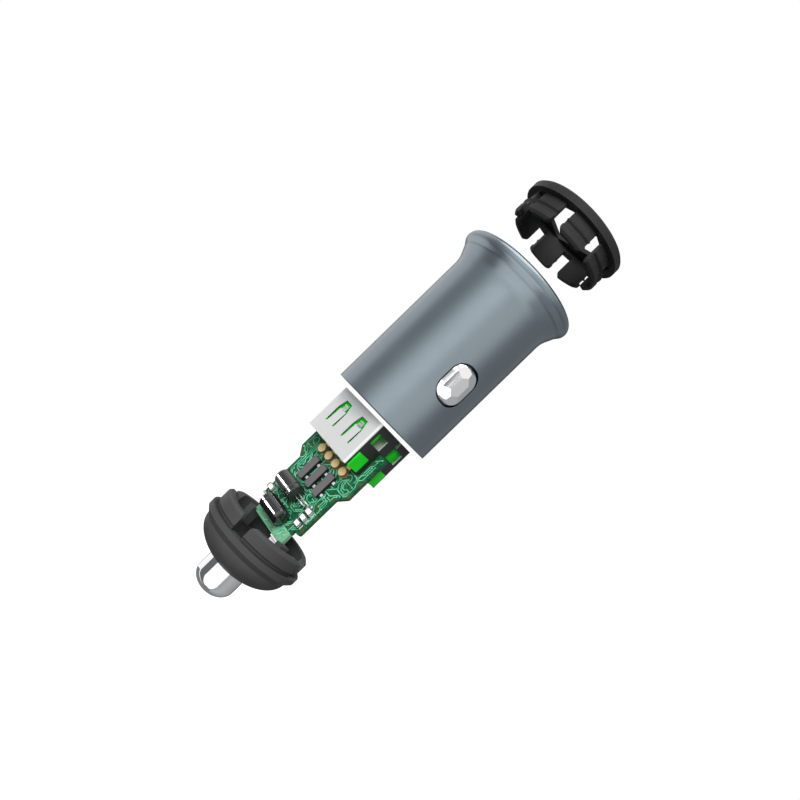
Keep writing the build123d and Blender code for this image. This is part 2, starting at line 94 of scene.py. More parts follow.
# The cards' stops: azimuths in degrees, counted from the camera, each with its brightness
LEFT_HIGH = ((-94, 0.75), (-84, 0.44), (-60, 0.44), (-38, 0.92))
LEFT_LOW = ((-90, 0.16), (-47, 0.16))
RIGHT_HIGH = ((48, 0.96), (74, 0.38), (150, 0.34))
RIGHT_LOW = ((41, 0.40), (70, 0.50), (150, 0.30))
BACK = ((150, 0.10), (210, 0.10))
UNDER_BACK = ((150, 0.24), (262, 0.24))
NADIR = ((-180, 0.24), (180, 0.24))
OVER_BACK = ((110, 0.10), (250, 0.10))

# Lamps that draw the long highlight on each capacitor: their azimuth and elevation, and the size they share
STRIPES = {"capacitor_1": (-90.5, -26), "capacitor_2": (-73.2, -28)}
STRIPE_SIZE = (0.075, 0.05)

# Surfaces: the useful range of a noise, and how open the surroundings are deep in a gap and clear of one, for
# the painted shade in gaps
NOISE_LOW = 0.3
NOISE_HIGH = 0.7
GAP_DARK = 0.25
GAP_LIGHT = 0.85
FINE_GRAIN = 0.0006 * MM
BLUR = 0.05 * MM
# Painted crease shade under the barrel's lip: its drops below the lip, its half width and how dark it is
LINE_DROPS = (1.6 * MM, 2.85 * MM)
LINE_HALF = 0.34 * MM
LINE_SHADE = 0.78
# TIN_REACH: how far below the board the terminal stays pale tin; below that it is painted black as shade
TIN_REACH = 1.5 * MM
TONGUE_COPPER = 2.6 * MM
OWN_FINISHES = {"tip_terminal": "terminal_tin"}

# Copper on the board
FRONT_SEED = 11
BACK_SEED = 29
TRACE_PITCH = 0.44 * MM
TRACE_WIDTH = 0.20 * MM
TRACE_HEIGHT = 0.03 * MM
TRACE_MARGIN = 0.30 * MM
TRACE_LENGTH = 22
TRACE_SHORTEST = 3
# The eight headings as steps in columns and rows, those that a track may start with, and its turns
STEPS = ((0, 1), (1, 1), (1, 0), (1, -1), (0, -1), (-1, -1), (-1, 0), (-1, 1))
HEADINGS = (0, 0, 4, 4, 2, 6, 1, 5)
TURNS = (0, 0, 0, 1, -1)
IN_LINE = 1e-12
SHARPEST_MITRE = 0.5
VIA_RADIUS = 0.17 * MM
VIA_RISE = 1.6
VIA_SIDES = 12
SINK = 0.005 * MM

# Solder and bare pads. Points of a node that meet the board within one FOOT of each other share a drop or pad
FOOT_LEVEL = 0.06 * MM
WIRE_FOOT = 0.42 * MM
WIRE_DROP_RADIUS = 0.38 * MM
WIRE_DROP_HEIGHT = 0.32 * MM
PIN_FOOT = 1.3 * MM
PIN_END = 0.2 * MM
PIN_DROP_RADIUS = 0.55 * MM
PIN_DROP_HEIGHT = 0.30 * MM
DROP_SIDES = 14
DROP_LEVELS = 4
LEG_FOOT = 0.9 * MM
LEG_PAD_X = 0.2 * MM
LEG_PAD_Z = 0.3 * MM
LEG_PAD_HEIGHT = 0.03 * MM
POST_RING = 0.18 * MM
POST_RING_HEIGHT = 0.05 * MM
POST_RING_SIDES = 28
BLOCK_PAD_X = 0.12 * MM
BLOCK_PAD_Z = 0.05 * MM
BLOCK_PAD_HEIGHT = 0.04 * MM

# Trim: the small parts' end caps, the shell's spring tips and the capacitors' bungs
CAP_SKIN = 0.02 * MM
CAP_WIDTH = 0.34 * MM
CAP_ROUND = 0.05 * MM
SPRING_OFFSET = 2.6 * MM
SPRING_END = 3.25 * MM
SPRING_LENGTH = 1.15 * MM
SPRING_HALF = 0.5 * MM
SPRING_THICKNESS = 0.14 * MM
SPRING_DEPTH = 0.12 * MM
SPRING_DIP = 0.16 * MM
SPRING_STEPS = 8
SPRING_ROUND = 0.04 * MM
BUNG_INSET = 0.32 * MM
BUNG_DEPTH = 0.05 * MM
BUNG_RISE = 0.04 * MM
BUNG_SIDES = 32


def direction(azimuth):
    """A level unit vector: azimuth 0 is -Y, and +X is a quarter turn on."""
    return Vector((math.sin(azimuth), -math.cos(azimuth), 0.0))


def make_camera():
    """The photograph's viewpoint."""
    towards = direction(VIEW_AZIMUTH)
    right = direction(VIEW_AZIMUTH + math.pi / 2)
    up = Vector((0.0, 0.0, 1.0))
    image_right = math.sin(VIEW_ROLL) * up + math.cos(VIEW_ROLL) * right
    image_up = math.cos(VIEW_ROLL) * up - math.sin(VIEW_ROLL) * right
    data = bpy.data.cameras.new("camera")
    data.lens = LENS
    data.sensor_width = SENSOR
    data.shift_x = SHIFT_X
    data.shift_y = SHIFT_Y
    data.clip_start = CLIP_START
    camera = bpy.data.objects.new("camera", data)
    bpy.context.scene.collection.objects.link(camera)
    place = VIEW_SIDE * right + VIEW_DISTANCE * towards + VIEW_HEIGHT * up
    turn = Matrix((image_right, image_up, towards)).transposed().to_4x4()
    camera.matrix_world = Matrix.Translation(place) @ turn
    bpy.context.scene.camera = camera


class Tree:
    """The node tree of a material or a world, in the making."""

    def __init__(self, owner):
        owner.use_nodes = True
        self.nodes = owner.node_tree.nodes
        self.links = owner.node_tree.links
        self.nodes.clear()

    def add(self, kind, inputs=None, **settings):
        """A new node with its settings. Each input named takes a value, or another node's socket."""
        node = self.nodes.new(kind)
        for key, value in settings.items():
            setattr(node, key, value)
        for key, value in (inputs or {}).items():
            if isinstance(value, bpy.types.NodeSocket):
                self.links.new(value, node.inputs[key])
            else:
                node.inputs[key].default_value = value
        return node

    def calculate(self, operation, first, second=0.0):
        """One step of arithmetic on sockets or values."""
        return self.add("ShaderNodeMath", {0: first, 1: second}, operation=operation).outputs[0]

    def seen(self):
        """1 on camera, glossy and transmission rays, and 0 on the others."""
        rays = self.add("ShaderNodeLightPath").outputs
        seen = self.calculate("MAXIMUM", rays["Is Camera Ray"], rays["Is Glossy Ray"])
        return self.calculate("MAXIMUM", seen, rays["Is Transmission Ray"])


def make_world():
    """White where it is seen, and a softer fill elsewhere."""
    world = bpy.data.worlds.new("studio")
    bpy.context.scene.world = world
    tree = Tree(world)
    fill = tree.add("ShaderNodeBackground", {"Color": WHITE, "Strength": WORLD_FILL}).outputs[0]
    white = tree.add("ShaderNodeBackground", {"Color": WHITE, "Strength": 1.0}).outputs[0]
    mix = tree.add("ShaderNodeMixShader", {0: tree.seen(), 1: fill, 2: white})
    tree.add("ShaderNodeOutputWorld", {0: mix.outputs[0]})


def mesh_object(name, verts, faces, smooth=False):
    """A mesh object from plain lists."""
    mesh = bpy.data.meshes.new(name)
    mesh.from_pydata(verts, [], faces)
    mesh.update()
    for polygon in mesh.polygons:
        polygon.use_smooth = smooth
    made = bpy.data.objects.new(name, mesh)
    bpy.context.scene.collection.objects.link(made)
    return made


def make_floor():
    """A pale floor well below the object, so that its shadow falls softly and out of the main view."""
    low = cad_box[0].z - FLOOR_DROP
    half = FLOOR_SIZE / 2
    corners = [(-half, -half, low), (half, -half, low), (half, half, low), (-half, half, low)]
    floor = mesh_object("floor", corners, [(0, 1, 2, 3)])
    material = bpy.data.materials.new("floor")
    tree = Tree(material)
    diffuse = tree.add("ShaderNodeBsdfDiffuse", {"Color": FLOOR_COLOUR})
    glow = tree.add("ShaderNodeEmission", {"Color": WHITE, "Strength": 1.0})
    dark = tree.add("ShaderNodeEmission", {"Strength": 0.0})
    lift = tree.add("ShaderNodeMixShader", {0: tree.seen(), 1: dark.outputs[0], 2: glow.outputs[0]})
    both = tree.add("ShaderNodeAddShader", {0: diffuse.outputs[0], 1: lift.outputs[0]})
    tree.add("ShaderNodeOutputMaterial", {0: both.outputs[0]})
    floor.data.materials.append(material)


def make_card(name, stops, low=(CARD_DISTANCE, -CARD_REACH), high=(CARD_DISTANCE, CARD_REACH)):
    """A studio card round the axis, between two edges that are given as a radius and a height.

    Each stop is an azimuth, counted from the camera, and a brightness.
    """
    verts = []
    faces = []
    levels = []
    for (start, first), (end, second) in zip(stops, stops[1:]):
        steps = max(1, round((end - start) / CARD_STEP))
        for step in range(steps + 1):
            share = step / steps
            away = direction(VIEW_AZIMUTH + math.radians(start + (end - start) * share))
            for radius, height in (low, high):
                verts.append((away.x * radius, away.y * radius, height))
            levels += [first + (second - first) * share] * 2
            if step:
                last = len(verts) - 2
                faces.append((last - 2, last, last + 1, last - 1))
    card = mesh_object(name, verts, faces, smooth=True)
    glow = card.data.attributes.new("glow", "FLOAT", "POINT")
    glow.data.foreach_set("value", levels)
    material = bpy.data.materials.new(name)
    tree = Tree(material)
    level = tree.add("ShaderNodeAttribute", attribute_name="glow").outputs["Fac"]
    light = tree.add("ShaderNodeEmission", {"Color": CARD_COLOUR, "Strength": level})
    tree.add("ShaderNodeOutputMaterial", {0: light.outputs[0]})
    card.data.materials.append(material)
    card.visible_camera = False
    card.visible_shadow = False
    card.visible_diffuse = False


def make_light(name, azimuth, elevation, distance, size, watts, glossy=True):
    """A soft area light that looks at the middle of the object; its azimuth is counted from the camera."""
    data = bpy.data.lights.new(name, "AREA")
    data.energy = watts
    data.shape = "RECTANGLE"
    data.size, data.size_y = size
    light = bpy.data.objects.new(name, data)
    bpy.context.scene.collection.objects.link(light)
    level = direction(VIEW_AZIMUTH + math.radians(azimuth))
    rise = math.radians(elevation)
    away = level * math.cos(rise) + Vector((0.0, 0.0, math.sin(rise)))
    light.location = away * distance
    light.rotation_euler = away.to_track_quat("Z", "Y").to_euler()
    light.visible_camera = False
    light.visible_glossy = glossy
    return light


def make_cards():
    """Cards round the axis for the bands on the metal, and more of them below and above the part."""
    make_card("card_left", LEFT_HIGH, low=(CARD_DISTANCE, SPLIT_LEFT))
    make_card("card_left_low", LEFT_LOW, high=(CARD_DISTANCE, SPLIT_LEFT))
    make_card("card_right", RIGHT_HIGH, low=(CARD_DISTANCE, SPLIT_RIGHT))
    make_card("card_right_low", RIGHT_LOW, high=(CARD_DISTANCE, SPLIT_RIGHT))
    make_card("card_back", BACK)
    floor_level = cad_box[0].z - FLOOR_DROP + CARD_LIFT
    near = (CARD_NEAR, floor_level)
    far = (CARD_DISTANCE, floor_level)
    make_card("card_under_left", LEFT_LOW, near, far)
    make_card("card_under_right", RIGHT_LOW, near, far)
    make_card("card_under_back", UNDER_BACK, near, far)
    make_card("card_nadir", NADIR, (MM, floor_level), near)
    make_card("card_over_back", OVER_BACK, (CARD_NEAR, CARD_REACH), (CARD_DISTANCE, CARD_REACH))
    for number, (start, end) in enumerate(SOFTBOX_GAPS):
        stops = ((start, SOFTBOX_LEVEL), (end, SOFTBOX_LEVEL))
        make_card(f"softbox_gap_{number}", stops, (CARD_DISTANCE, SOFTBOX_LOW), (CARD_DISTANCE, SOFTBOX_HIGH))


def make_lights():
    """Soft lights from the front, the top and the rear, and a stripe that only one capacitor receives."""
    make_light("key", -14, 14, distance=0.50, size=(0.34, 0.34), watts=0.16)
    make_light("front", -12, 24, distance=0.45, size=(0.26, 0.26), watts=3.3, glossy=False)
    make_light("top", -50, 75, distance=0.35, size=(0.30, 0.30), watts=0.6)
    make_light("rear", 178, 22, distance=0.45, size=(0.30, 0.30), watts=1.8, glossy=False)
    for name, (azimuth, elevation) in STRIPES.items():
        stripe = make_light("stripe_" + name, azimuth, elevation, distance=0.24, size=STRIPE_SIZE, watts=0.8)
        receivers = bpy.data.collections.new("lit_" + name)
        receivers.objects.link(nodes[name])
        stripe.light_linking.receiver_collection = receivers


class Surface(Tree):
    """A principled material in the making. Constant values sit on the shader's own sockets."""

    def __init__(self, name, colour, metallic=0.0, roughness=0.5, specular=0.5):
        self.material = bpy.data.materials.new(name)
        super().__init__(self.material)
        principled = self.add("ShaderNodeBsdfPrincipled", {
            "Base Color": (*colour, 1.0), "Metallic": metallic, "Roughness": roughness,
            "Specular IOR Level": specular})
        self.inputs = principled.inputs
        self.add("ShaderNodeOutputMaterial", {0: principled.outputs[0]})

    def noise(self, scale, detail, stretch=(1.0, 1.0, 1.0)):
        """Noise fixed to the object, in features of 1 / scale metres."""
        place = self.add("ShaderNodeTexCoord").outputs["Object"]
        mapped = self.add("ShaderNodeMapping", {"Vector": place, "Scale": stretch}).outputs[0]
        texture = self.add("ShaderNodeTexNoise", {"Vector": mapped, "Scale": scale, "Detail": detail})
        return texture.outputs["Fac"]

    def height(self):
        """The height of each point on the object."""
        place = self.add("ShaderNodeTexCoord").outputs["Object"]
        return self.add("ShaderNodeSeparateXYZ", {0: place}).outputs["Z"]

    def ranged(self, source, from_low, from_high, low, high, interpolation="LINEAR"):
        """Maps one range of a value to another, and stops at its ends."""
        values = {"Value": source, "From Min": from_low, "From Max": from_high, "To Min": low, "To Max": high}
        return self.add("ShaderNodeMapRange", values, interpolation_type=interpolation).outputs["Result"]

    def spread(self, source, low, high):
        """Maps the useful part of a noise to a range."""
        return self.ranged(source, NOISE_LOW, NOISE_HIGH, low, high)

    def blend(self, first, second, share):
        """The colour between two, each of which is a constant or a socket."""
        ends = [colour if isinstance(colour, bpy.types.NodeSocket) else (*colour, 1.0)
                for colour in (first, second)]
        mix = self.add("ShaderNodeMix", {"A": ends[0], "B": ends[1], "Factor": share}, data_type="RGBA")
        return mix.outputs["Result"]

    def paint(self, colour):
        """Gives the surface a colour from a socket."""
        self.links.new(colour, self.inputs["Base Color"])

    def painted(self):
        """The surface's colour so far: a socket, or the constant while nothing is linked."""
        base = self.inputs["Base Color"]
        return base.links[0].from_socket if base.is_linked else base.default_value

    def darken(self, share):
        """Multiplies the colour by a value."""
        values = {"A": self.painted(), "B": share, "Factor": 1.0}
        mix = self.add("ShaderNodeMix", values, data_type="RGBA", blend_type="MULTIPLY")
        self.paint(mix.outputs["Result"])

    def vary_roughness(self, source, low, high):
        """Uneven gloss."""
        self.links.new(self.spread(source, low, high), self.inputs["Roughness"])

    def vary_colour(self, source, first, second):
        """Blends two colours by a noise."""
        self.paint(self.blend(first, second, self.spread(source, 0.0, 1.0)))

    def relief(self, source, height, edge=0.0):
        """Bump from a noise, over edges that are softened by a small radius."""
        bump = self.add("ShaderNodeBump", {"Strength": 1.0, "Distance": height, "Height": source})
        if edge:
            bevel = self.add("ShaderNodeBevel", {"Radius": edge}, samples=6)
            self.links.new(bevel.outputs[0], bump.inputs["Normal"])
        self.links.new(bump.outputs[0], self.inputs["Normal"])

    def paint_gap_shade(self, reach, depth):
        """Painted shade: darkens the colour where the surface lies deep in a gap, as ambient occlusion finds
        it.
        """
        occlusion = self.add("ShaderNodeAmbientOcclusion", {"Distance": reach}, samples=8)
        self.darken(self.ranged(occlusion.outputs["AO"], GAP_DARK, GAP_LIGHT, depth, 1.0))

    def by_face(self, axis, low, high, facing, other):
        """One colour on the faces that look along an axis, and another on the rest."""
        normal = self.add("ShaderNodeNewGeometry").outputs["True Normal"]
        along = self.calculate("ABSOLUTE", self.add("ShaderNodeSeparateXYZ", {0: normal}).outputs[axis])
        self.paint(self.blend(other, facing, self.ranged(along, low, high, 0.0, 1.0)))

    def tinned_end(self, level, below):
        """Keeps the colour above a height, and has another below it."""
        share = self.ranged(self.height(), level - BLUR, level + BLUR, 0.0, 1.0)
        self.paint(self.blend(below, self.painted(), share))

    def painted_crease_lines(self, levels):
        """Painted shade: fine lines round the surface at some heights, a little darker than the rest,
        standing in for the shade of creases there.
        """
        height = self.height()
        for level in levels:
            distance = self.calculate("ABSOLUTE", self.calculate("SUBTRACT", height, level))
            self.darken(self.ranged(distance, 0.0, LINE_HALF, LINE_SHADE, 1.0, "SMOOTHSTEP"))


def barrel_metal():
    """Satin anodised metal, blue-grey, with a very fine turned grain."""
    skin = Surface("barrel_metal", (0.25, 0.295, 0.328), metallic=1.0, roughness=0.32)
    skin.vary_roughness(skin.noise(160, 2), 0.29, 0.35)
    skin.vary_colour(skin.noise(90, 2), (0.243, 0.288, 0.32), (0.257, 0.302, 0.336))
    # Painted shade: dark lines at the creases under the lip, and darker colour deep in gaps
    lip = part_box("barrel")[1].z
    skin.painted_crease_lines([lip - drop for drop in LINE_DROPS])
    skin.paint_gap_shade(0.35 * MM, 0.03)
    skin.relief(skin.noise(5000, 2, (0.35, 0.35, 3.0)), FINE_GRAIN, 0.12 * MM)
    return skin.material


def moulded_plastic(name, colour, other, roughness, specular, gap=0.0):
    """Moulded plastic with a spark-eroded grain, and painted shade in its gaps when a gap reach is given."""
    skin = Surface(name, colour, roughness=roughness, specular=specular)
    skin.vary_colour(skin.noise(220, 3), colour, other)
    # Painted shade deep in gaps
    if gap:
        skin.paint_gap_shade(gap, 0.1)
    skin.vary_roughness(skin.noise(400, 3), roughness - 0.05, roughness + 0.05)
    skin.relief(skin.noise(7000, 2), 0.012 * MM, 0.14 * MM)
    return skin.material


def painted_side_shade(name, face, side, roughness, specular, grain):
    """A moulded part with a pale top, and side walls painted darker as shade."""
    skin = Surface(name, face, roughness=roughness, specular=specular)
    # Painted shade on the side walls by the way each face looks, and in the gaps
    skin.by_face("Y", 0.5, 0.8, face, side)
    skin.paint_gap_shade(0.3 * MM, 0.2)
    skin.vary_roughness(skin.noise(900, 3), roughness - 0.06, roughness + 0.06)
    skin.relief(skin.noise(9000, 2), grain, 0.05 * MM)
    return skin.material


def polished_metal(name, colour, roughness, edge=0.1 * MM):
    """Plated metal with faint polishing haze."""
    skin = Surface(name, colour, metallic=1.0, roughness=roughness)
    skin.vary_roughness(skin.noise(500, 3), roughness * 0.7, roughness * 1.3)
    skin.relief(skin.noise(2500, 2), FINE_GRAIN, edge)
    return skin.material


def rolled_metal():
    """Bright plated contacts, with the faint ripple of a stamped face."""
    skin = Surface("contact_metal", (0.86, 0.86, 0.87), metallic=1.0, roughness=0.06)
    # Painted shade: near black deep in the gaps round the contacts
    skin.paint_gap_shade(0.7 * MM, 0.03)
    skin.vary_roughness(skin.noise(500, 3), 0.04, 0.08)
    skin.relief(skin.noise(1100, 1, (1.0, 1.0, 0.12)), 0.0015 * MM, 0.06 * MM)
    return skin.material


def terminal_tin():
    """A steel strip, pale tin at its upper end and painted black below, as shade where it stands in the
    nose's notch.
    """
    skin = Surface("terminal_tin", (0.93, 0.93, 0.93), metallic=0.3, roughness=0.35)
    skin.vary_colour(skin.noise(600, 2), (0.90, 0.90, 0.91), (0.96, 0.96, 0.97))
    # Painted shade: black below the tinned end, where the strip stands in the shade of the nose's notch
    skin.tinned_end(board_low.z - TIN_REACH, below=(0.02, 0.02, 0.021))
    return skin.material


def shell_steel():
    """Nickel-plated sheet. Its narrow side walls are painted near black as shade, much darker than its wide
    faces.
    """
    skin = Surface("shell_steel", (0.80, 0.80, 0.80), metallic=0.45, roughness=0.32)
    # Painted shade: the side walls, which face along X, are near black; the wide faces keep a pale grey
    skin.by_face("X", 0.93, 0.99, (0.030, 0.029, 0.031), (0.66, 0.66, 0.665))
    skin.vary_roughness(skin.noise(700, 3, (1.0, 1.0, 0.2)), 0.28, 0.36)
    skin.relief(skin.noise(4000, 2, (3.0, 3.0, 0.3)), FINE_GRAIN, 0.05 * MM)
    return skin.material


def solder_mask():
    """Green lacquer, blotched where copper lies under it, and paler over the tongue's copper."""
    skin = Surface("solder_mask", (0.02, 0.14, 0.06), roughness=0.4, specular=0.2)
    fine = skin.noise(2200, 2)
    lacquer = skin.blend((0.002, 0.032, 0.012), (0.012, 0.115, 0.050), skin.spread(fine, 0.0, 1.0))
    blotches = skin.spread(skin.noise(700, 3), -0.7, 0.8)
    blotched = skin.blend(lacquer, (0.065, 0.080, 0.022), blotches)
    copper_top = board_low.z + TONGUE_COPPER
    tongue = skin.ranged(skin.height(), copper_top, copper_top + BLUR, 0.75, 0.0)
    skin.paint(skin.blend(blotched, (0.20, 0.44, 0.26), tongue))
    # Painted shade deep in the gaps between the parts on the board
    skin.paint_gap_shade(0.8 * MM, 0.15)
    skin.relief(fine, 0.01 * MM, 0.05 * MM)
    return skin.material


def track_lacquer():
    """Lacquer over copper: paler and glossier than the bare board."""
    skin = Surface("track_lacquer", (0.10, 0.50, 0.28), roughness=0.35, specular=0.3)
    skin.vary_colour(skin.noise(350, 2), (0.03, 0.24, 0.12), (0.15, 0.62, 0.38))
    # Painted shade deep in gaps
    skin.paint_gap_shade(0.8 * MM, 0.15)
    skin.relief(skin.noise(5000, 2), 0.003 * MM)
    return skin.material


def via_lacquer():
    """Lacquered via pads."""
    skin = Surface("via_lacquer", (0.10, 0.42, 0.24), roughness=0.35)
    skin.vary_colour(skin.noise(900, 2), (0.04, 0.22, 0.11), (0.16, 0.5, 0.32))
    # Painted shade deep in gaps
    skin.paint_gap_shade(0.8 * MM, 0.15)
    return skin.material


def copper_brown():
    """Oxidised copper round the posts."""
    skin = Surface("copper_brown", (0.25, 0.13, 0.07), metallic=0.3, roughness=0.45)
    skin.vary_colour(skin.noise(1200, 2), (0.20, 0.10, 0.05), (0.32, 0.18, 0.10))
    return skin.material


def glowing_plastic():
    """Bright green insulator plastic with a painted glow: its emission stands in for light inside the ports'
    narrow windows.
    """
    skin = Surface("insulator_plastic", (0.008, 0.46, 0.012), roughness=0.42, specular=0.25)
    # Painted light: the plastic glows though no lamp is inside the ports
    skin.inputs["Emission Color"].default_value = (0.0, 0.55, 0.012, 1.0)
    skin.inputs["Emission Strength"].default_value = 0.18
    skin.vary_colour(skin.noise(500, 2), (0.006, 0.42, 0.01), (0.01, 0.50, 0.014))
    skin.relief(skin.noise(6000, 2), 0.004 * MM, 0.08 * MM)
    return skin.material


def sleeve_black():
    """The capacitors' shrunk sleeve: black and very glossy."""
    skin = Surface("capacitor_black", (0.008, 0.008, 0.009), roughness=0.14)
    skin.inputs["Coat Weight"].default_value = 1.0
    skin.inputs["Coat Roughness"].default_value = 0.05
    skin.vary_roughness(skin.noise(800, 2), 0.11, 0.18)
    skin.relief(skin.noise(1200, 2), 0.002 * MM, 0.1 * MM)
    return skin.material


def make_finishes():
    """Every finish: one for each of the record's slots, under its name, and then those of single pieces."""
    return {
        "barrel_metal": barrel_metal(),
        "cap_plastic": moulded_plastic("cap_plastic", (0.019, 0.019, 0.020), (0.025, 0.025, 0.026),
                                       roughness=0.45, specular=0.10, gap=0.7 * MM),
        "nose_plastic": moulded_plastic("nose_plastic", (0.046, 0.046, 0.047), (0.052, 0.052, 0.053),
                                        roughness=0.5, specular=0.10, gap=0.9 * MM),
        "tip_metal": polished_metal("tip_metal", (0.80, 0.80, 0.81), 0.05),
        "contact_metal": rolled_metal(),
        "spring_steel": polished_metal("spring_steel", (0.55, 0.55, 0.57), 0.22),
        "board_green": solder_mask(),
        "shell_steel": shell_steel(),
        "insulator_green": glowing_plastic(),
        "pin_gold": polished_metal("pin_gold", (0.83, 0.63, 0.28), 0.2),
        "capacitor_black": sleeve_black(),
        "lead_tin": polished_metal("lead_tin", (0.86, 0.86, 0.87), 0.2),
        "coil_black": moulded_plastic("coil_black", (0.03, 0.03, 0.032), (0.04, 0.04, 0.042),
                                      roughness=0.55, specular=0.4),
        # Posts, chips and small blocks: pale tops, with painted shade on their side walls
        "post_brass": painted_side_shade("post_brass", (0.78, 0.56, 0.30), (0.28, 0.145, 0.07),
                               roughness=0.42, specular=0.3, grain=0.004 * MM),
        "chip_grey": painted_side_shade("chip_grey", (0.115, 0.105, 0.115), (0.012, 0.012, 0.012),
                              roughness=0.6, specular=0.2, grain=0.006 * MM),
        "block_tan": painted_side_shade("block_tan", (0.86, 0.86, 0.88), (0.20, 0.19, 0.20),
                              roughness=0.35, specular=0.4, grain=0.003 * MM),
        "end_tin": polished_metal("end_tin", (0.72, 0.72, 0.73), 0.3, 0.03 * MM),
        "terminal_tin": terminal_tin(),
        "spring_tip": polished_metal("spring_tip", (0.95, 0.95, 0.95), 0.3, 0.03 * MM),
        "bung_rubber": moulded_plastic("bung_rubber", (0.012, 0.020, 0.015), (0.018, 0.028, 0.021),
                                       roughness=0.5, specular=0.3),
        "track_lacquer": track_lacquer(),
        "via_lacquer": via_lacquer(),
        "copper_brown": copper_brown(),
    }


def dress_nodes(finishes):
    """Gives each CAD node the finish of its slot, or the one of its own that it has."""
    slots = {row["node"]: row["material_slot"] for row in frame["record"]["subparts"]}
    for name, node in nodes.items():
        node.data.materials.clear()
        node.data.materials.append(finishes[OWN_FINISHES.get(name, slots[name])])


def circle(middle, radius, sides):
    """The corners of a regular outline round a point in a plane."""
    turns = [2 * math.pi * index / sides for index in range(sides)]
    return [(middle[0] + radius * math.cos(turn), middle[1] + radius * math.sin(turn)) for turn in turns]


def add_skin(mesh, rings, peak=None):
    """Joins each ring of points to the next, and closes both ends, the last at a peak if there is one."""
    made = [[mesh.verts.new(point) for point in ring] for ring in rings]
    count = len(made[0])
    for first, second in zip(made, made[1:]):
        for index in range(count):
            after = (index + 1) % count
            mesh.faces.new((first[index], first[after], second[after], second[index]))
    mesh.faces.new(list(reversed(made[0])))
    if peak is None:
        mesh.faces.new(made[-1])
        return
    top = mesh.verts.new(peak)
    for index in range(count):
        mesh.faces.new((made[-1][index], made[-1][(index + 1) % count], top))


def add_slab(mesh, outline, base, top):
    """A flat plate over an outline of (x, z) points, between two levels along Y."""
    add_skin(mesh, [[(x, level, z) for x, z in outline] for level in (base, top)])


def add_plate(mesh, x_low, x_high, z_low, z_high, base, top):
    """A flat rectangular plate between two levels along Y."""
    add_slab(mesh, [(x_low, z_low), (x_high, z_low), (x_high, z_high), (x_low, z_high)], base, top)


def add_drop(mesh, x, z, radius, base, height):
    """A drop of solder: a round foot that rises to a rounded top."""
    rings = []
    for level in range(DROP_LEVELS):
        turn = level / DROP_LEVELS * math.pi / 2
        rise = base + height * math.sin(turn)
        rings.append([(x, rise, z) for x, z in circle((x, z), radius * math.cos(turn), DROP_SIDES)])
    add_skin(mesh, rings, peak=(x, base + height, z))


def finish_mesh(name, mesh, look, smooth=False):
    """Turns a mesh in the making into a piece that rides with the core."""
    bmesh.ops.recalc_face_normals(mesh, faces=mesh.faces)
    data = bpy.data.meshes.new(name)
    mesh.to_mesh(data)
    mesh.free()
    for polygon in data.polygons:
        polygon.use_smooth = smooth
    made = bpy.data.objects.new(name, data)
    bpy.context.scene.collection.objects.link(made)
    made.data.materials.append(look)
    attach(made, "core")
    return made


def round_edges(piece, width):
    """Rounds the edges of a piece."""
    bevel = piece.modifiers.new("rounded", "BEVEL")
    bevel.width = width
    bevel.segments = 2


def half_width(z):
    """Half of the board's width at a height, read from the edges of the CAD node that cross it."""
    mesh = nodes["circuit_board"].data
    reach = -1.0
    for edge in mesh.edges:
        low, high = sorted((mesh.vertices[index].co for index in edge.vertices), key=lambda point: point.z)
        if low.z <= z <= high.z and high.z > low.z:
            share = (z - low.z) / (high.z - low.z)
            reach = max(reach, abs(low.x + (high.x - low.x) * share))
    return reach


class TrackGrid:
    """Cells in columns and rows over the board, each of which at most one track passes through."""

    def __init__(self):
        self.shell_low, self.shell_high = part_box("usb_shell")
        self.columns = int((board_high.x - board_low.x) / TRACE_PITCH)
        self.rows = int((board_high.z - board_low.z) / TRACE_PITCH)
        self.reaches = [half_width(self.place((0, row))[1]) for row in range(self.rows + 2)]
        self.used = set()

    def place(self, cell):
        """Where a cell lies on the board, as x and z."""
        start = -self.columns * TRACE_PITCH / 2
        return start + cell[0] * TRACE_PITCH, board_low.z + TRACE_MARGIN + cell[1] * TRACE_PITCH

    def free(self, cell):
        """Whether a track may enter a cell: it is unused, on the board and not under the shell."""
        x, z = self.place(cell)
        if cell in self.used or z > board_high.z - TRACE_MARGIN or cell[1] < 0:
            return False
        beside = self.reaches[max(0, cell[1] - 1):cell[1] + 2]
        if abs(x) > self.reaches[cell[1]] - TRACE_MARGIN or abs(x) > min(beside):
            return False
        return not (z > self.shell_low.z - TRACE_MARGIN and abs(x) < self.shell_high.x + TRACE_MARGIN)

    def step(self, cell, heading):
        """The next cell along one of the eight headings, or None where a track can't go."""
        across, up = STEPS[heading]
        ahead = (cell[0] + across, cell[1] + up)
        crosses = across and up and {(cell[0] + across, cell[1]), (cell[0], cell[1] + up)} <= self.used
        return ahead if self.free(ahead) and not crosses else None

    def grow(self, cell, chance):
        """A track of cells that starts at one and turns by an eighth at most at each step."""
        heading = chance.choice(HEADINGS)
        path = [cell]
        self.used.add(cell)
        while len(path) < TRACE_LENGTH:
            turns = list(TURNS)
            chance.shuffle(turns)
            for turn in turns:
                ahead = self.step(path[-1], (heading + turn) % len(STEPS))
                if ahead:
                    break
            else:
                break
            heading = (heading + turn) % len(STEPS)
            path.append(ahead)
            self.used.add(ahead)
        return path


def route_traces(seed):
    """Random tracks over the board, as lists of (x, z) points."""
    chance = random.Random(seed)
    grid = TrackGrid()
    cells = [(column, row) for column in range(grid.columns + 1) for row in range(grid.rows + 1)]
    chance.shuffle(cells)
    paths = [grid.grow(cell, chance) for cell in cells if grid.free(cell)]
    return [[grid.place(cell) for cell in path] for path in paths if len(path) >= TRACE_SHORTEST]


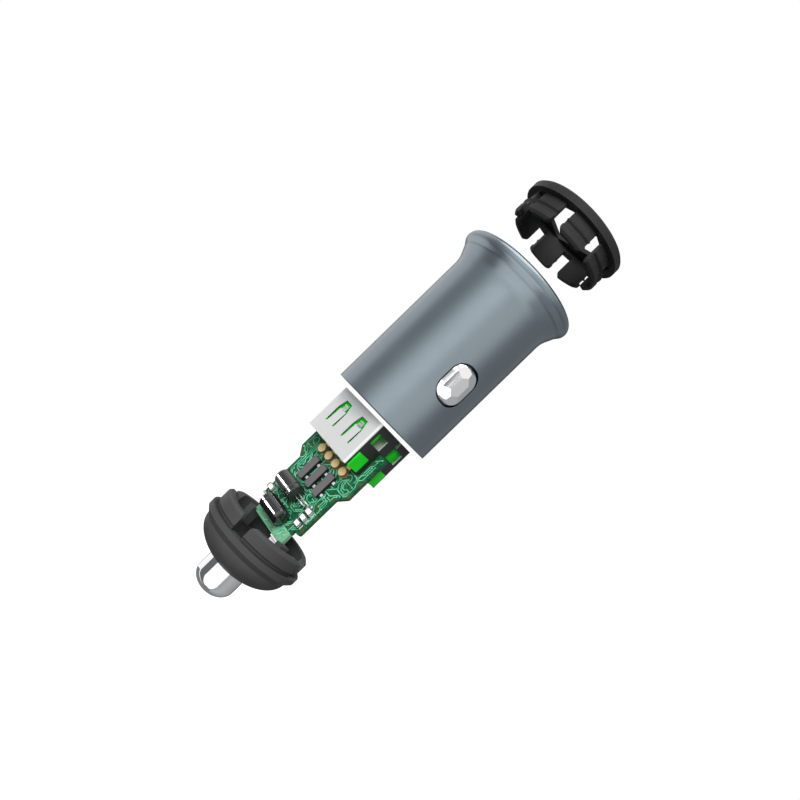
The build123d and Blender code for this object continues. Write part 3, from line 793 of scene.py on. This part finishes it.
def simplify(path):
    """Drops the points that lie in line with their neighbours."""
    kept = [path[0]]
    for before, point, after in zip(path, path[1:], path[2:]):
        first = Vector(point) - Vector(before)
        second = Vector(after) - Vector(point)
        if abs(first.x * second.y - first.y * second.x) > IN_LINE:
            kept.append(point)
    kept.append(path[-1])
    return kept


def add_ribbon(mesh, path, width, base, top):
    """A flat track along (x, z) points, with mitred corners, between two levels along Y."""
    points = [Vector(point) for point in simplify(path)]
    rings = []
    for index, point in enumerate(points):
        if index < len(points) - 1:
            ahead = (points[index + 1] - point).normalized()
        else:
            ahead = (point - points[index - 1]).normalized()
        behind = (points[index] - points[index - 1]).normalized() if index else ahead
        tangent = (ahead + behind).normalized()
        reach = width / 2 / max(SHARPEST_MITRE, tangent.dot(ahead))
        side = Vector((-tangent.y, tangent.x)) * reach
        left = point + side
        right = point - side
        rings.append([(left.x, base, left.y), (left.x, top, left.y), (right.x, top, right.y),
                      (right.x, base, right.y)])
    add_skin(mesh, rings)


def make_copper(name, face, outward, seed, finishes):
    """The tracks and vias on one face of the board, at y = face, standing out along outward."""
    tracks = bmesh.new()
    vias = bmesh.new()
    base = face - outward * SINK
    top = face + outward * TRACE_HEIGHT
    via_top = face + outward * TRACE_HEIGHT * VIA_RISE
    for path in route_traces(seed):
        add_ribbon(tracks, path, TRACE_WIDTH, base, top)
        for end in (path[0], path[-1]):
            add_slab(vias, circle(end, VIA_RADIUS, VIA_SIDES), base, via_top)
    finish_mesh(name + "_tracks", tracks, finishes["track_lacquer"])
    finish_mesh(name + "_vias", vias, finishes["via_lacquer"])


def feet(name, face, reach, top=math.inf):
    """The middles of the places where a node's solids meet one face of the board."""
    groups = []
    for vertex in nodes[name].data.vertices:
        if abs(vertex.co.y - face) > FOOT_LEVEL or vertex.co.z > top:
            continue
        point = Vector((vertex.co.x, vertex.co.z))
        for group in groups:
            if (group[0] - point).length < reach:
                group.append(point)
                break
        else:
            groups.append([point])
    return [sum(group, Vector((0.0, 0.0))) / len(group) for group in groups]


def make_solder(finishes):
    """Drops of solder at the capacitors' wires and at the rear pins."""
    drops = bmesh.new()
    front = board_low.y
    rear = board_high.y
    for name in ("capacitor_leads_1", "capacitor_leads_2"):
        for x, z in feet(name, front, WIRE_FOOT):
            add_drop(drops, x, z, WIRE_DROP_RADIUS, front + SINK, -WIRE_DROP_HEIGHT)
    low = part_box("usb_pins_rear")[0].z
    for x, z in feet("usb_pins_rear", rear, PIN_FOOT, low + PIN_END):
        add_drop(drops, x, z, PIN_DROP_RADIUS, rear - SINK, PIN_DROP_HEIGHT)
    finish_mesh("solder_drops", drops, finishes["lead_tin"], smooth=True)


def make_pads(finishes):
    """Bare pads under the chips' legs and the small parts, and oxidised rings round the posts."""
    bare = bmesh.new()
    brown = bmesh.new()
    front = board_low.y
    base = front + SINK
    for number in range(1, 4):
        for x, z in feet(f"chip_legs_{number}", front, LEG_FOOT):
            add_plate(bare, x - LEG_PAD_X, x + LEG_PAD_X, z - LEG_PAD_Z, z + LEG_PAD_Z, base,
                      front - LEG_PAD_HEIGHT)
    for number in range(1, 5):
        low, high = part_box(f"terminal_post_{number}")
        middle = (low + high) / 2
        ring = circle((middle.x, middle.z), (high.x - low.x) / 2 + POST_RING, POST_RING_SIDES)
        add_slab(brown, ring, base, front - POST_RING_HEIGHT)
        low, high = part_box(f"smd_block_{number}")
        add_plate(bare, low.x - BLOCK_PAD_X, high.x + BLOCK_PAD_X, low.z - BLOCK_PAD_Z, high.z + BLOCK_PAD_Z,
                  base, front - BLOCK_PAD_HEIGHT)
    finish_mesh("bare_pads", bare, finishes["lead_tin"])
    finish_mesh("post_pads", brown, finishes["copper_brown"])


def make_end_caps(finishes):
    """Tinned end caps that wrap the small parts."""
    caps = bmesh.new()
    for number in range(1, 5):
        low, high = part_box(f"smd_block_{number}")
        for left, right in ((low.x - CAP_SKIN, low.x + CAP_WIDTH), (high.x - CAP_WIDTH, high.x + CAP_SKIN)):
            add_plate(caps, left, right, low.z - CAP_SKIN, high.z + CAP_SKIN, high.y, low.y - CAP_SKIN)
    round_edges(finish_mesh("block_end_caps", caps, finishes["end_tin"]), CAP_ROUND)


def add_strip(mesh, x_low, x_high, profile, thickness):
    """A narrow bent strip of sheet across X, whose middle line is a list of (y, z) points."""
    half = thickness / 2
    corners = ((x_low, -half), (x_high, -half), (x_high, half), (x_low, half))
    add_skin(mesh, [[(x, y + offset, z) for x, offset in corners] for y, z in profile])


def make_spring_tips(finishes):
    """The rounded ends of the shell's four springs, which dip into the ports inside the windows' heads."""
    tips = bmesh.new()
    low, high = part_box("usb_shell")
    for face, inward in ((low.y, 1), (high.y, -1)):
        profile = []
        for step in range(SPRING_STEPS + 1):
            share = step / SPRING_STEPS
            depth = SPRING_DEPTH + SPRING_DIP * math.sin(share * math.pi)
            profile.append((face + inward * depth, high.z - SPRING_END + SPRING_LENGTH * share))
        for middle in (-SPRING_OFFSET, SPRING_OFFSET):
            add_strip(tips, middle - SPRING_HALF, middle + SPRING_HALF, profile, SPRING_THICKNESS)
    round_edges(finish_mesh("shell_spring_tips", tips, finishes["spring_tip"]), SPRING_ROUND)


def make_bungs(finishes):
    """The rubber bungs that the capacitors' wires come out of, inside the sleeve's rolled edge."""
    bungs = bmesh.new()
    for number, side in ((1, 1), (2, -1)):
        low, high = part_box(f"capacitor_{number}")
        middle = (low + high) / 2
        end = high.x if side > 0 else low.x
        outline = circle((middle.y, middle.z), (high.z - low.z) / 2 - BUNG_INSET, BUNG_SIDES)
        levels = (end - side * BUNG_DEPTH, end + side * BUNG_RISE)
        add_skin(bungs, [[(x, y, z) for y, z in outline] for x in levels])
    finish_mesh("capacitor_bungs", bungs, finishes["bung_rubber"])


make_camera()
make_world()
make_floor()
make_cards()
make_lights()
finishes = make_finishes()
dress_nodes(finishes)
make_copper("board_front", board_low.y, -1, FRONT_SEED, finishes)
make_copper("board_back", board_high.y, 1, BACK_SEED, finishes)
make_solder(finishes)
make_pads(finishes)
make_end_caps(finishes)
make_spring_tips(finishes)
make_bungs(finishes)
bpy.context.scene.view_settings.view_transform = "Standard"
